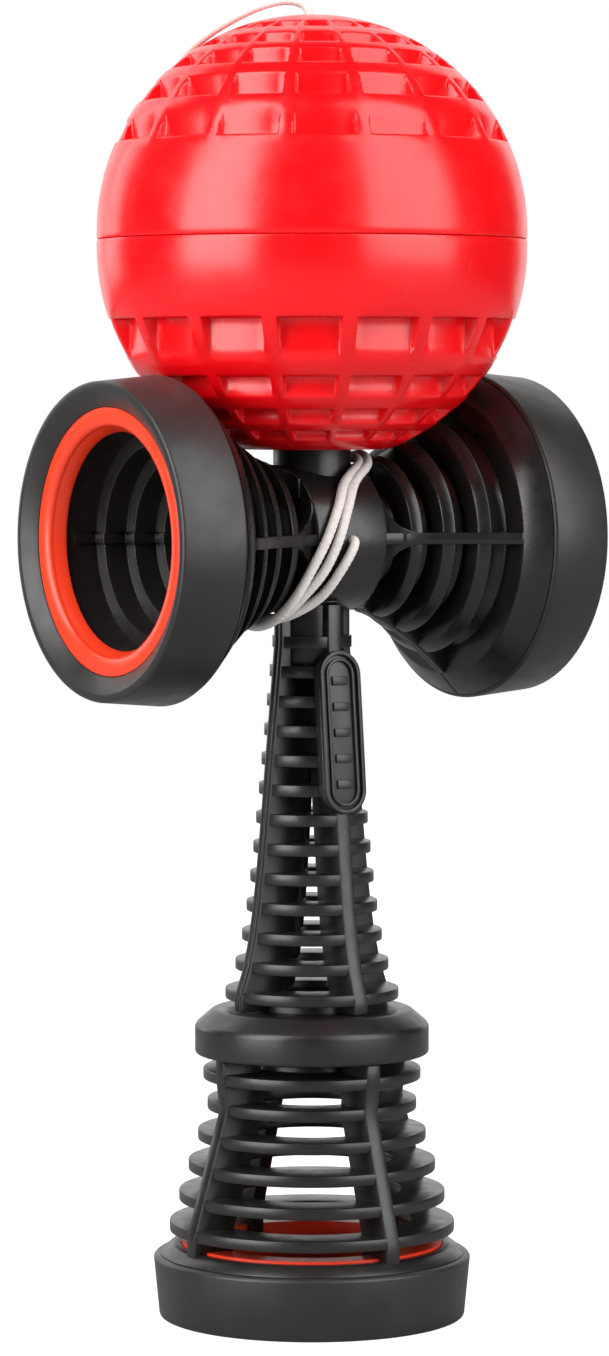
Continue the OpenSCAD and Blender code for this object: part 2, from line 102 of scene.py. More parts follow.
# The string's route in millimetres: out of the window, round the barrel, up behind the ball and into its top
TURN_STEP = 22.5
TURN_X = [
    -2.2, -3.9, -6.1, -6.8, -6.6, -4.8, -2.4, 0.5, 3.2, 5.6, 7.5, 8.3,
    6.6, 1.9, -1, -3.1, -5, -7, -8.2, -8.3, -8.1, -6.2, -3.7, -1, 1.8, 4.2, 6, 6.8,
    5.1, 0.2, -2.7, -5.2, -7.3, -8.9, -9.7, -9.8, -9.4, -7.4, -4.8, -3.1,
]
STRING_OUT = [(0, 0.8, 112.4), (0, -4, 112.4), (0, -9.6, 112.4), (-0.4, -11.3, 111.6)]
STRING_UP = [
    (-3.1, 12.3, 116.6), (-3.5, 14.8, 121.4), (-4.2, 18.3, 126), (-5.2, 21.8, 130.2), (-6.2, 25, 134.6),
    (-7.4, 27.9, 139.4), (-8.4, 29.8, 144.4), (-9.2, 30.8, 149.6), (-9.8, 30.9, 155), (-10.4, 30.4, 160.4),
    (-11, 28.9, 165.6), (-11.5, 26.4, 170.4), (-11.9, 23.2, 174.9), (-12, 19.3, 178.9), (-11.6, 15, 182.1),
    (-10.5, 10.7, 184.6), (-8.8, 6.8, 186.6), (-6.4, 3.8, 188.2), (-3.6, 1.8, 189), (-1.4, 0.6, 188.6),
    (-0.3, 0.1, 187.1), (0, 0, 184.8), (0, 0, 181), (0, 0, 177.6), (0, 0, 174),
]


class KendamaSizes(bpy.types.PropertyGroup):
    """Sizes that a user would change."""

    shell_fillet: bpy.props.FloatProperty(
        name="Shell fillet", description="Roundness of the moulded shells' edges",
        default=0.22 * MM, min=0.02 * MM, max=0.5 * MM, unit="LENGTH", precision=5)
    ball_fillet: bpy.props.FloatProperty(
        name="Ball fillet", description="Roundness of the edges of the ball's pockets",
        default=0.28 * MM, min=0.02 * MM, max=0.6 * MM, unit="LENGTH", precision=5)
    rim_fillet: bpy.props.FloatProperty(
        name="Rim fillet", description="Roundness of the rubber rims' outer edges",
        default=0.5 * MM, min=0.2 * MM, max=1.0 * MM, unit="LENGTH", precision=5)
    string_diameter: bpy.props.FloatProperty(
        name="String diameter", description="Diameter of the braided string",
        default=1.4 * MM, min=1.0 * MM, max=1.45 * MM, unit="LENGTH", precision=5)


class KendamaColours(bpy.types.PropertyGroup):
    """Colours of the kendama's finishes."""

    ball_red: bpy.props.FloatVectorProperty(
        name="Ball red", description="Colour of the ball's shells", subtype="COLOR", size=3,
        default=(0.80, 0.0016, 0.0050), min=0, max=1)
    ring_red: bpy.props.FloatVectorProperty(
        name="Ring red", description="Colour of the mouth rings and the grommet", subtype="COLOR", size=3,
        default=(0.86, 0.045, 0.012), min=0, max=1)
    plastic_black: bpy.props.FloatVectorProperty(
        name="Plastic black", description="Colour of the handle and the cross piece", subtype="COLOR", size=3,
        default=(0.0105, 0.0085, 0.0085), min=0, max=1)
    rubber_black: bpy.props.FloatVectorProperty(
        name="Rubber black", description="Colour of the rubber rims", subtype="COLOR", size=3,
        default=(0.0125, 0.0105, 0.0105), min=0, max=1)
    string_white: bpy.props.FloatVectorProperty(
        name="String white", description="Colour of the braided string", subtype="COLOR", size=3,
        default=(0.78, 0.74, 0.71), min=0, max=1)
    bead_wood: bpy.props.FloatVectorProperty(
        name="Bead wood", description="Colour of the bead inside the ball", subtype="COLOR", size=3,
        default=(0.48, 0.25, 0.10), min=0, max=1)


class KendamaStudio(bpy.types.PropertyGroup):
    """The camera and the lamps."""

    focal_length: bpy.props.FloatProperty(
        name="Focal length", description="Length of the camera's lens in millimetres",
        default=129.52, min=20, max=300)
    left_power: bpy.props.FloatProperty(
        name="Left box power", description="Power of the tall soft box at the camera's left",
        default=25.0, min=0, max=200, subtype="POWER", unit="POWER")
    right_power: bpy.props.FloatProperty(
        name="Right box power", description="Power of the tall soft box at the camera's right",
        default=20.0, min=0, max=200, subtype="POWER", unit="POWER")
    backdrop_power: bpy.props.FloatProperty(
        name="Backdrop power", description="Power of the lit backdrop behind the toy",
        default=8.0, min=0, max=200, subtype="POWER", unit="POWER")
    fill: bpy.props.FloatProperty(
        name="Room light", description="Strength of the light that comes from all round",
        default=0.07, min=0, max=2)


# Finishes

class Finish:
    """A material under construction, with its Principled shader and the piece's own coordinates."""

    def __init__(self, name, colour, roughness, **sockets):
        self.material = bpy.data.materials.new(name)
        self.material.use_nodes = True
        self.tree = self.material.node_tree
        self.shader = self.tree.nodes["Principled BSDF"]
        self.coordinates = self.tree.nodes.new("ShaderNodeTexCoord")
        self.shader.inputs["Base Color"].default_value = (*colour, 1)
        self.shader.inputs["Roughness"].default_value = roughness
        for socket, value in sockets.items():
            self.shader.inputs[socket.replace("_", " ")].default_value = value

    def noise(self, scale, detail=2.0, source="Object", stretch=(1, 1, 1)):
        mapping = self.tree.nodes.new("ShaderNodeMapping")
        mapping.inputs["Scale"].default_value = stretch
        texture = self.tree.nodes.new("ShaderNodeTexNoise")
        texture.inputs["Scale"].default_value = scale
        texture.inputs["Detail"].default_value = detail
        self.tree.links.new(self.coordinates.outputs[source], mapping.inputs["Vector"])
        self.tree.links.new(mapping.outputs["Vector"], texture.inputs["Vector"])
        return texture.outputs["Fac"]

    def remap(self, value, low, high, start=0.3, end=0.7):
        node = self.tree.nodes.new("ShaderNodeMapRange")
        for socket, number in (("From Min", start), ("From Max", end), ("To Min", low), ("To Max", high)):
            node.inputs[socket].default_value = number
        self.tree.links.new(value, node.inputs["Value"])
        return node.outputs["Result"]

    def vary_roughness(self, value):
        self.tree.links.new(value, self.shader.inputs["Roughness"])

    def vary_colour(self, value, dark, light):
        ramp = self.tree.nodes.new("ShaderNodeValToRGB")
        ramp.color_ramp.elements[0].position, ramp.color_ramp.elements[1].position = 0.3, 0.7
        ramp.color_ramp.elements[0].color = (*dark, 1)
        ramp.color_ramp.elements[1].color = (*light, 1)
        self.tree.links.new(value, ramp.inputs["Fac"])
        self.tree.links.new(ramp.outputs["Color"], self.shader.inputs["Base Color"])

    def bump(self, value, height, strength=1.0):
        """Adds relief of that height in metres, on top of any relief that is already there."""
        node = self.tree.nodes.new("ShaderNodeBump")
        node.inputs["Distance"].default_value = height
        node.inputs["Strength"].default_value = strength
        self.tree.links.new(value, node.inputs["Height"])
        normal = self.shader.inputs["Normal"]
        if normal.is_linked:
            self.tree.links.new(normal.links[0].from_socket, node.inputs["Normal"])
        self.tree.links.new(node.outputs["Normal"], normal)


def shade(colour, factor):
    return tuple(min(1.0, c * factor) for c in colour)


def moulded_black(name, colour, roughness, grain):
    """Black moulded plastic with the fine grain of a textured mould."""
    finish = Finish(name, colour, roughness)
    finish.vary_colour(finish.noise(90, 3), shade(colour, 0.85), shade(colour, 1.2))
    finish.vary_roughness(finish.remap(finish.noise(420, 4), roughness - 0.05, roughness + 0.06))
    finish.bump(finish.noise(5200, 2), grain)
    finish.bump(finish.noise(150, 2), 0.02 * MM, 0.35)
    return finish.material


def glossy_red(name, colour, roughness):
    """Smooth red plastic straight from a polished mould, with a faint waviness."""
    finish = Finish(name, colour, roughness)
    finish.vary_colour(finish.noise(60, 2), shade(colour, 0.94), shade(colour, 1.05))
    finish.vary_roughness(finish.remap(finish.noise(260, 4), roughness - 0.03, roughness + 0.05))
    finish.bump(finish.noise(95, 2), 0.03 * MM, 0.35)
    finish.bump(finish.noise(3800, 2), 0.0015 * MM, 0.6)
    return finish.material


def soft_rubber(name, colour):
    """Matt soft-touch rubber."""
    finish = Finish(name, colour, 0.42, Sheen_Weight=0.04, Sheen_Roughness=0.5)
    finish.vary_colour(finish.noise(70, 3), shade(colour, 0.85), shade(colour, 1.25))
    finish.vary_roughness(finish.remap(finish.noise(300, 5), 0.36, 0.48))
    finish.bump(finish.noise(4200, 3), 0.006 * MM, 0.7)
    finish.bump(finish.noise(120, 2), 0.03 * MM, 0.3)
    return finish.material


def braided_white(name, colour):
    """White braid: soft fibres over the cord's own plaited relief."""
    finish = Finish(name, colour, 0.8, Sheen_Weight=0.25, Sheen_Roughness=0.4)
    finish.vary_colour(finish.noise(1800, 3), shade(colour, 0.88), shade(colour, 1.05))
    finish.vary_roughness(finish.remap(finish.noise(900, 2), 0.7, 0.9))
    finish.bump(finish.noise(7000, 3), 0.02 * MM, 0.8)
    return finish.material


def turned_wood(name, colour):
    """Plain turned wood with its grain along the string's hole."""
    finish = Finish(name, colour, 0.5)
    grain = finish.noise(900, 4, stretch=(1, 1, 0.08))
    finish.vary_colour(grain, shade(colour, 0.65), shade(colour, 1.2))
    finish.vary_roughness(finish.remap(grain, 0.42, 0.6))
    finish.bump(grain, 0.02 * MM, 0.6)
    return finish.material


FINISHES = {}


def finish_for(slot):
    """The finish of a material slot, made once."""
    if slot not in FINISHES:
        colours = bpy.context.scene.kendama_colours
        make = {
            "handle_plastic": lambda: moulded_black("handle_plastic", colours.plastic_black, 0.33, 0.006 * MM),
            "cross_plastic": lambda: moulded_black("cross_plastic", colours.plastic_black, 0.29, 0.005 * MM),
            "badge_plastic": lambda: moulded_black(
                "badge_plastic", shade(colours.plastic_black, 1.3), 0.38, 0.008 * MM),
            "rim_rubber": lambda: soft_rubber("rim_rubber", colours.rubber_black),
            "ring_plastic": lambda: glossy_red("ring_plastic", colours.ring_red, 0.32),
            "ball_plastic": lambda: glossy_red("ball_plastic", colours.ball_red, 0.24),
            "string_fabric": lambda: braided_white("string_fabric", colours.string_white),
            "bead_wood": lambda: turned_wood("bead_wood", colours.bead_wood),
        }
        FINISHES[slot] = make[slot]()
    return FINISHES[slot]


# Modelling helpers

def pick(obj):
    """Makes obj the only selected object and the active one."""
    bpy.ops.object.select_all(action="DESELECT")
    obj.select_set(True)
    bpy.context.view_layer.objects.active = obj


def settle(obj):
    """Puts a finished piece's place into its mesh, so its object sits unturned at the origin."""
    pick(obj)
    bpy.ops.object.transform_apply(location=True, rotation=True, scale=True)
    return obj


def dress(obj, name, body, slot, *nodes):
    """Names a finished piece, gives it its finish and lets it stand for its CAD nodes."""
    obj.name = obj.data.name = name
    obj.data.materials.clear()
    obj.data.materials.append(finish_for(slot))
    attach(obj, body)
    if nodes:
        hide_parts(*nodes)
    return obj


def round_edges(obj, width, segments=2, angle=30):
    """Rounds every edge that turns more than angle degrees."""
    modifier = obj.modifiers.new("fillet", "BEVEL")
    modifier.width = width
    modifier.segments = segments
    modifier.limit_method = "ANGLE"
    modifier.angle_limit = math.radians(angle)
    modifier.use_clamp_overlap = True
    pick(obj)
    bpy.ops.object.modifier_apply(modifier=modifier.name)
    return obj


def smooth(obj, angle=35):
    pick(obj)
    bpy.ops.object.shade_smooth_by_angle(angle=math.radians(angle))
    return obj


def join(pieces):
    """Joins pieces into the first of them."""
    bpy.ops.object.select_all(action="DESELECT")
    for piece in pieces:
        piece.select_set(True)
    bpy.context.view_layer.objects.active = pieces[0]
    bpy.ops.object.join()
    return pieces[0]


def select_where(obj, kind, test):
    """Selects only the vertices or faces that pass the test, in edit mode, and counts them."""
    bpy.ops.mesh.select_mode(type=kind)
    bpy.ops.mesh.select_all(action="DESELECT")
    mesh = bmesh.from_edit_mesh(obj.data)
    chosen = [e for e in (mesh.verts if kind == "VERT" else mesh.faces) if test(e)]
    for element in chosen:
        element.select_set(True)
    mesh.select_flush_mode()
    bmesh.update_edit_mesh(obj.data)
    return len(chosen)


def outline(points, filled=True):
    """A flat outline through (x, z) points in millimetres, left in edit mode with all of it selected."""
    bpy.ops.object.select_all(action="DESELECT")
    bpy.ops.mesh.primitive_circle_add(vertices=len(points), radius=0.01, fill_type="NGON" if filled else "NOTHING")
    obj = bpy.context.view_layer.objects.active
    for vert, (x, z) in zip(obj.data.vertices, points):
        vert.co = (x * MM, 0, z * MM)
    bpy.ops.object.mode_set(mode="EDIT")
    bpy.ops.mesh.select_all(action="SELECT")
    return obj


def lathe(points, start=0, sweep=360, steps=96):
    """Spins an outline of (radius, height) points round the Z axis, from start degrees on."""
    obj = outline(points, filled=False)
    turn = Matrix.Rotation(math.radians(start), 4, "Z")
    mesh = bmesh.from_edit_mesh(obj.data)
    for vert in mesh.verts:
        vert.co = turn @ vert.co
    bmesh.update_edit_mesh(obj.data)
    bpy.ops.mesh.spin(steps=steps, angle=-math.radians(sweep), center=(0, 0, 0), axis=(0, 0, 1))
    bpy.ops.mesh.select_all(action="SELECT")
    bpy.ops.mesh.remove_doubles(threshold=0.001 * MM)
    if sweep < 360:
        bpy.ops.mesh.fill_holes(sides=0)
    bpy.ops.mesh.select_all(action="SELECT")
    bpy.ops.mesh.normals_make_consistent(inside=False)
    bpy.ops.object.mode_set(mode="OBJECT")
    return obj


def plate(points, low, high, turn=0):
    """Extrudes an outline of (radius, height) points from y = low to y = high, then turns it round Z."""
    obj = outline(points)
    bpy.ops.transform.translate(value=(0, low * MM, 0))
    bpy.ops.mesh.extrude_region_move(TRANSFORM_OT_translate={"value": (0, (high - low) * MM, 0)})
    bpy.ops.mesh.select_all(action="SELECT")
    bpy.ops.mesh.normals_make_consistent(inside=False)
    bpy.ops.object.mode_set(mode="OBJECT")
    obj.rotation_euler.z = math.radians(turn)
    return settle(obj)


def lay_on_cross(obj, side):
    """Turns a piece made with its mouth up so that it lies along the cross piece, towards side."""
    obj.rotation_euler.y = math.radians(90 * side)
    obj.location.z = CROSS_Z * MM
    return settle(obj)


def cut_hole(obj, radius, start, end):
    """Drills a round hole in obj between two points in millimetres."""
    start, end = Vector(start) * MM, Vector(end) * MM
    bpy.ops.object.select_all(action="DESELECT")
    bpy.ops.mesh.primitive_cylinder_add(vertices=64, radius=radius * MM, depth=(end - start).length,
                                        location=(start + end) / 2,
                                        rotation=(end - start).to_track_quat("Z", "Y").to_euler())
    drill = bpy.context.view_layer.objects.active
    modifier = obj.modifiers.new("hole", "BOOLEAN")
    modifier.object = drill
    modifier.operation = "DIFFERENCE"
    modifier.solver = "EXACT"
    pick(obj)
    bpy.ops.object.modifier_apply(modifier=modifier.name)
    bpy.data.objects.remove(drill)
    return obj


# Curves for the string

def catmull_rom(points, steps):
    """Points along a smooth curve through the given ones."""
    points = [Vector(p) for p in points]
    padded = [2 * points[0] - points[1], *points, 2 * points[-1] - points[-2]]
    curve = []
    for i in range(1, len(padded) - 2):
        a, b, c, d = padded[i - 1:i + 3]
        for k in range(steps):
            t = k / steps
            curve.append(0.5 * (2 * b + (c - a) * t + (2 * a - 5 * b + 4 * c - d) * t ** 2
                                + (3 * b - a - 3 * c + d) * t ** 3))
    curve.append(points[-1])
    return curve


def evenly(curve, spacing):
    """The same curve with points an even distance apart."""
    lengths = [0.0]
    for a, b in zip(curve, curve[1:]):
        lengths.append(lengths[-1] + (b - a).length)
    count = max(2, round(lengths[-1] / spacing))
    even, i = [], 0
    for k in range(count + 1):
        goal = lengths[-1] * k / count
        while i < len(lengths) - 2 and lengths[i + 1] < goal:
            i += 1
        span = lengths[i + 1] - lengths[i]
        even.append(curve[i].lerp(curve[i + 1], 0 if span == 0 else (goal - lengths[i]) / span))
    return even, lengths[-1]


def turn_point(i, radius):
    """Place of one turn of string on the barrel, in millimetres."""
    x = TURN_X[i]
    r = BARREL_R + radius + 0.25 + 0.4 * max(0, abs(x) + radius - CUP_START)
    a = math.radians((i + 1) * TURN_STEP)
    return (x, -r * math.cos(a), CROSS_Z - r * math.sin(a))


def braided_tube(name, path, radius, sides=20, strands=4, pitch=3.2 * MM):
    """A tube along path whose surface is plaited from strands that cross over and under."""
    spacing = (path[1] - path[0]).length
    verts, faces = [], []
    tangent = (path[1] - path[0]).normalized()
    normal = tangent.orthogonal().normalized()
    for i, point in enumerate(path):
        ahead = path[min(i + 1, len(path) - 1)] - path[max(i - 1, 0)]
        ahead.normalize()
        normal = (normal - ahead * normal.dot(ahead)).normalized()
        side = ahead.cross(normal)
        turn = 2 * math.pi * i * spacing / pitch
        for k in range(sides):
            a = 2 * math.pi * k / sides
            left = abs(math.sin((strands * a + turn * strands) / 2))
            right = abs(math.sin((strands * a - turn * strands) / 2))
            relief = 0.88 + 0.12 * max(left, right) ** 2
            verts.append(point + radius * relief * (math.cos(a) * normal + math.sin(a) * side))
    for i in range(len(path) - 1):
        for k in range(sides):
            m = (k + 1) % sides
            faces.append((i * sides + k, i * sides + m, (i + 1) * sides + m, (i + 1) * sides + k))
    faces.append(tuple(range(sides - 1, -1, -1)))
    faces.append(tuple((len(path) - 1) * sides + k for k in range(sides)))
    mesh = bpy.data.meshes.new(name)
    mesh.from_pydata(verts, [], faces)
    mesh.update()
    obj = bpy.data.objects.new(name, mesh)
    bpy.context.scene.collection.objects.link(obj)
    pick(obj)
    bpy.ops.object.shade_smooth()
    return obj


# Operators

class KENDAMA_OT_stage(bpy.types.Operator):
    """Sets up the pale floor, the soft boxes and the camera"""

    bl_idname = "kendama.stage"
    bl_label = "Studio"

    def soft_box(self, name, angle, height, distance, width, tall, power):
        """An upright soft box, angle degrees to the right of the camera as seen from the toy."""
        a = math.radians(33.8 - angle)
        place = Vector((-math.sin(a) * distance, -math.cos(a) * distance, height))
        lamp = bpy.data.lights.new(name, "AREA")
        lamp.shape = "RECTANGLE"
        lamp.size, lamp.size_y = width, tall
        lamp.energy = power
        obj = bpy.data.objects.new(name, lamp)
        obj.location = place
        obj.rotation_euler = (Vector((0, 0, height)) - place).to_track_quat("-Z", "Y").to_euler()
        obj.visible_camera = False
        bpy.context.scene.collection.objects.link(obj)

    def execute(self, context):
        studio = context.scene.kendama_studio
        data = bpy.data.cameras.new("camera")
        data.lens = studio.focal_length
        data.sensor_width = 36
        data.clip_end = 100
        camera = bpy.data.objects.new("camera", data)
        camera.location = (-0.3903, -0.5811, 0.1348)
        yaw, pitch = math.radians(33.8), math.radians(3.48)
        ahead = Vector((math.sin(yaw) * math.cos(pitch), math.cos(yaw) * math.cos(pitch), -math.sin(pitch)))
        camera.rotation_euler = ahead.to_track_quat("-Z", "Y").to_euler()
        context.scene.collection.objects.link(camera)
        context.scene.camera = camera
        context.scene.view_settings.view_transform = "Standard"

        self.soft_box("left_box", -52, 0.96, 0.85, 0.62, 1.9, studio.left_power)
        self.soft_box("right_box", 54, 1.0, 0.85, 0.80, 1.9, studio.right_power)
        self.soft_box("backdrop", 180, 0.82, 1.0, 1.5, 1.6, studio.backdrop_power)
        self.soft_box("back_left_box", -132, 0.6, 1.0, 0.3, 1.1, 2.2)

        world = bpy.data.worlds.new("studio")
        world.use_nodes = True
        context.scene.world = world
        tree = world.node_tree
        room = tree.nodes["Background"]
        room.inputs["Color"].default_value = (1, 1, 1, 1)
        room.inputs["Strength"].default_value = studio.fill
        wall = tree.nodes.new("ShaderNodeBackground")
        wall.inputs["Color"].default_value = (1, 1, 1, 1)
        wall.inputs["Strength"].default_value = 1.0
        mix = tree.nodes.new("ShaderNodeMixShader")
        path = tree.nodes.new("ShaderNodeLightPath")
        tree.links.new(path.outputs["Is Camera Ray"], mix.inputs["Fac"])
        tree.links.new(room.outputs["Background"], mix.inputs[1])
        tree.links.new(wall.outputs["Background"], mix.inputs[2])
        tree.links.new(mix.outputs["Shader"], tree.nodes["World Output"].inputs["Surface"])

        bpy.ops.object.select_all(action="DESELECT")
        bpy.ops.mesh.primitive_plane_add(size=1.6, location=(0, 0, -0.02 * MM))
        floor = settle(context.view_layer.objects.active)
        floor.name = "floor"
        white = bpy.data.materials.new("pale_floor")
        white.use_nodes = True
        shader = white.node_tree.nodes["Principled BSDF"]
        shader.inputs["Base Color"].default_value = (0.35, 0.35, 0.35, 1)
        shader.inputs["Roughness"].default_value = 0.9
        shader.inputs["Specular IOR Level"].default_value = 0.1
        shader.inputs["Emission Color"].default_value = (1, 1, 1, 1)
        seen = white.node_tree.nodes.new("ShaderNodeLightPath")
        glow = white.node_tree.nodes.new("ShaderNodeMath")
        glow.operation = "MULTIPLY"
        glow.inputs[1].default_value = 0.88
        white.node_tree.links.new(seen.outputs["Is Camera Ray"], glow.inputs[0])
        white.node_tree.links.new(glow.outputs["Value"], shader.inputs["Emission Strength"])
        floor.data.materials.append(white)
        return {"FINISHED"}


class KENDAMA_OT_string(bpy.types.Operator):
    """Winds the braided string round the barrel and leads it up behind the ball"""

    bl_idname = "kendama.string"
    bl_label = "String"

    def execute(self, context):
        radius = context.scene.kendama_sizes.string_diameter / 2
        turns = [turn_point(i, radius / MM) for i in range(len(TURN_X))]
        route = [Vector(p) * MM for p in (*STRING_OUT, *turns, *STRING_UP)]
        path, length = evenly(catmull_rom(route, 12), 0.16 * MM)
        string = braided_tube("string", path, radius * 1.03)
        string.data.materials.append(finish_for("string_fabric"))
        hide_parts("string_wraps", "string_tail")
        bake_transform(string)
        print(f"string length {length * 1000:.0f} mm")
        return {"FINISHED"}


class KENDAMA_OT_knots(bpy.types.Operator):
    """Ties the knots inside the handle and inside the ball"""

    bl_idname = "kendama.knots"
    bl_label = "Knots"

    def knot(self, name, body, node):
        low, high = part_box(node)
        middle, size = (low + high) / 2, (high - low).x / 2
        thick = 0.36 * size
        loop = []
        for k in range(61):
            a = 2 * math.pi * k / 60
            loop.append(middle + Vector((
                (math.sin(a) + 2 * math.sin(2 * a)) / 3, (math.cos(a) - 2 * math.cos(2 * a)) / 3,
                -math.sin(3 * a) * 0.6)) * (size - thick))
        loop = loop[:-1]
        path, _ = evenly(catmull_rom(loop, 6), 0.2 * MM)
        obj = braided_tube(name, path, thick, sides=12, pitch=2.4 * MM)
        return dress(obj, name, body, "string_fabric", node)

    def execute(self, context):
        self.knot("knot_in_handle", "ken", "handle_knot")
        self.knot("knot_in_ball", "string_end", "ball_knot")
        return {"FINISHED"}


class KENDAMA_OT_bead(bpy.types.Operator):
    """Turns the wooden bead that lets the string spin in the ball"""

    bl_idname = "kendama.bead"
    bl_label = "Bead"

    def execute(self, context):
        low, high = (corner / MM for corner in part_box("ball_bead"))
        middle, radius, hole = (low.z + high.z) / 2, (high.x - low.x) / 2 - 0.02, 0.9
        half = (high.z - low.z) / 2 - 0.02
        shoulder = math.degrees(math.asin(half / radius))
        belly = [(radius * math.cos(math.radians(a)), middle + radius * math.sin(math.radians(a)))
                 for a in (shoulder * k / 8 for k in range(-8, 9))]
        bead = lathe([(hole, middle - half), *belly, (hole, middle + half)], steps=48)
        smooth(round_edges(bead, 0.25 * MM, 2, 40))
        dress(bead, "string_bead", "string_end", "bead_wood", "ball_bead")
        return {"FINISHED"}


class KENDAMA_OT_grommet(bpy.types.Operator):
    """Turns the red grommet that the string comes out of"""

    bl_idname = "kendama.grommet"
    bl_label = "Grommet"

    def execute(self, context):
        outer, hole = 1.74, 0.76
        grommet = lathe([(hole, 2.0), (outer, 2.0), (outer, 9.38), (hole, 9.38)], steps=40)
        round_edges(grommet, 0.3 * MM, 3, 40)
        smooth(grommet)
        grommet.rotation_euler.x = math.radians(90)
        grommet.location.z = CROSS_Z * MM
        dress(settle(grommet), "window_grommet", "ken", "ring_plastic", "string_grommet")
        return {"FINISHED"}


class KENDAMA_OT_rims(bpy.types.Operator):
    """Moulds the three rubber rims with their rounded edges and slightly dished fronts"""

    bl_idname = "kendama.rims"
    bl_label = "Rubber rims"

    def rim(self, back_r, width):
        fillet = self.fillet
        mouth_r, seat_r, sleeve_r = back_r - 0.82, SEAT_R, SLEEVE_R + 0.09
        body = lathe([
            (sleeve_r, SKIN), (back_r - 0.4, SKIN), (back_r - SKIN, 0.45), (mouth_r, width - fillet),
            (mouth_r - 0.26 * fillet, width - 0.34 * fillet), (mouth_r - fillet, width - SKIN),
            (mouth_r - 1.2, width - SKIN), (seat_r, width - RIM_DISH), (seat_r, width - RIM_LIP),
            (sleeve_r, width - RIM_LIP),
        ], steps=160)
        round_edges(body, 0.14 * MM, 2, 24)
        return smooth(body, 40)

    def execute(self, context):
        self.fillet = context.scene.kendama_sizes.rim_fillet / MM
        for side, back_r, name in ((-1, SMALL_RIM_R, "small_cup"), (1, BIG_RIM_R, "big_cup")):
            rim = self.rim(back_r, RIM_W)
            rim.location.z = RIM_BACK * MM
            rim = lay_on_cross(settle(rim), side)
            dress(rim, f"rubber_rim_{name}", "ken", "rim_rubber", f"{name}_rim")
        rim = self.rim(BASE_RIM_R, BASE_RIM_W)
        rim.rotation_euler.x = math.radians(180)
        rim.location.z = BASE_RIM_W * MM
        dress(settle(rim), "rubber_rim_base", "ken", "rim_rubber", "base_cup_rim")
        return {"FINISHED"}


class KENDAMA_OT_rings(bpy.types.Operator):
    """Turns the three coloured rings in the cups' mouths"""

    bl_idname = "kendama.rings"
    bl_label = "Mouth rings"

    def ring(self, length):
        bead = [(16.14, 2.12), (16.17, 1.86), (16.3, 1.62), (16.56, 1.38), (16.92, 1.2), (17.35, 1.09),
                (17.85, 1.05), (18.35, 1.1), (MOUTH_RING_OUT_R, 1.25)]
        wall = [(MOUTH_RING_OUT_R, SKIN), (MOUTH_RING_IN_R, SKIN), (15.4, length - 3.4), (16.1, length - 2.2)]
        ring = lathe([*wall, *((radius, length - back) for radius, back in bead)], steps=160)
        return smooth(ring, 32)

    def execute(self, context):
        for side, name in ((-1, "small_cup"), (1, "big_cup")):
            ring = self.ring(MOUTH_RING_LEN)
            ring.location.z = MOUTH_RING_BACK * MM
            ring = lay_on_cross(settle(ring), side)
            dress(ring, f"mouth_ring_{name}", "ken", "ring_plastic", f"{name}_ring")
        ring = self.ring(BASE_RING_LEN)
        ring.rotation_euler.x = math.radians(180)
        ring.location.z = BASE_RING_TOP * MM
        dress(settle(ring), "mouth_ring_base", "ken", "ring_plastic", "base_cup_ring")
        return {"FINISHED"}


class KENDAMA_OT_collar(bpy.types.Operator):
    """Turns the collar between the shaft and the base"""

    bl_idname = "kendama.collar"
    bl_label = "Collar"

    def execute(self, context):
        low, high = (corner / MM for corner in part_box("collar_ring"))
        outer, shoulder, bore = high.x - SKIN, 14.2, 8.25
        bottom, band_top, top = low.z + SKIN, low.z + 4.3, high.z - SKIN
        collar = lathe([(bore, bottom), (outer, bottom), (outer, band_top), (shoulder, top), (bore, top)], steps=144)
        round_edges(collar, 0.5 * MM, 4, 24)
        dress(smooth(collar, 40), "waist_collar", "ken", "handle_plastic", "collar_ring")
        return {"FINISHED"}


class KENDAMA_OT_badge(bpy.types.Operator):
    """Models the badge plate with its double border and a plain row of raised bars"""

    bl_idname = "kendama.badge"
    bl_label = "Badge"

    def stadium(self, inset, thick, at):
        """A plate with round ends, inset millimetres smaller than the badge all round."""
        radius, points = BADGE_END_R - inset, []
        for a in (*range(0, 181, 9), *range(180, 361, 9)):
            middle = BADGE_RUN if a < 180 else -BADGE_RUN
            points.append((radius * math.cos(math.radians(a)), middle + radius * math.sin(math.radians(a))))
        return plate(points, -at - thick, -at)

    def border(self, inset, width, at, height):
        """A raised rail round the badge."""
        rail = self.stadium(inset, height, at)
        core = self.stadium(inset + width, height + 1, at - 0.5)
        modifier = rail.modifiers.new("core", "BOOLEAN")
        modifier.object = core
        modifier.operation = "DIFFERENCE"
        modifier.solver = "EXACT"
        pick(rail)
        bpy.ops.object.modifier_apply(modifier=modifier.name)
        bpy.data.objects.remove(core)
        return rail

    def execute(self, context):
        parts = [self.stadium(0, 1.42, SKIN), self.border(0.02, 0.62, 1.3, 0.66), self.border(1.05, 0.5, 1.3, 0.6)]
        half_w, half_h = 1.35, 0.62
        for k in range(-2, 3):
            low, high = BAR_PITCH * k - half_h, BAR_PITCH * k + half_h
            parts.append(plate([(-half_w, low), (half_w, low), (half_w, high), (-half_w, high)], -1.82, -1.2))
        badge = join([round_edges(part, 0.16 * MM, 2, 40) for part in parts])
        smooth(badge, 40)
        badge.rotation_euler.x = -math.radians(BADGE_TILT)
        badge.location = (0, -BADGE_BACK * MM, BADGE_Z * MM)
        dress(settle(badge), "shaft_badge", "ken", "badge_plastic", "badge_plate")
        return {"FINISHED"}


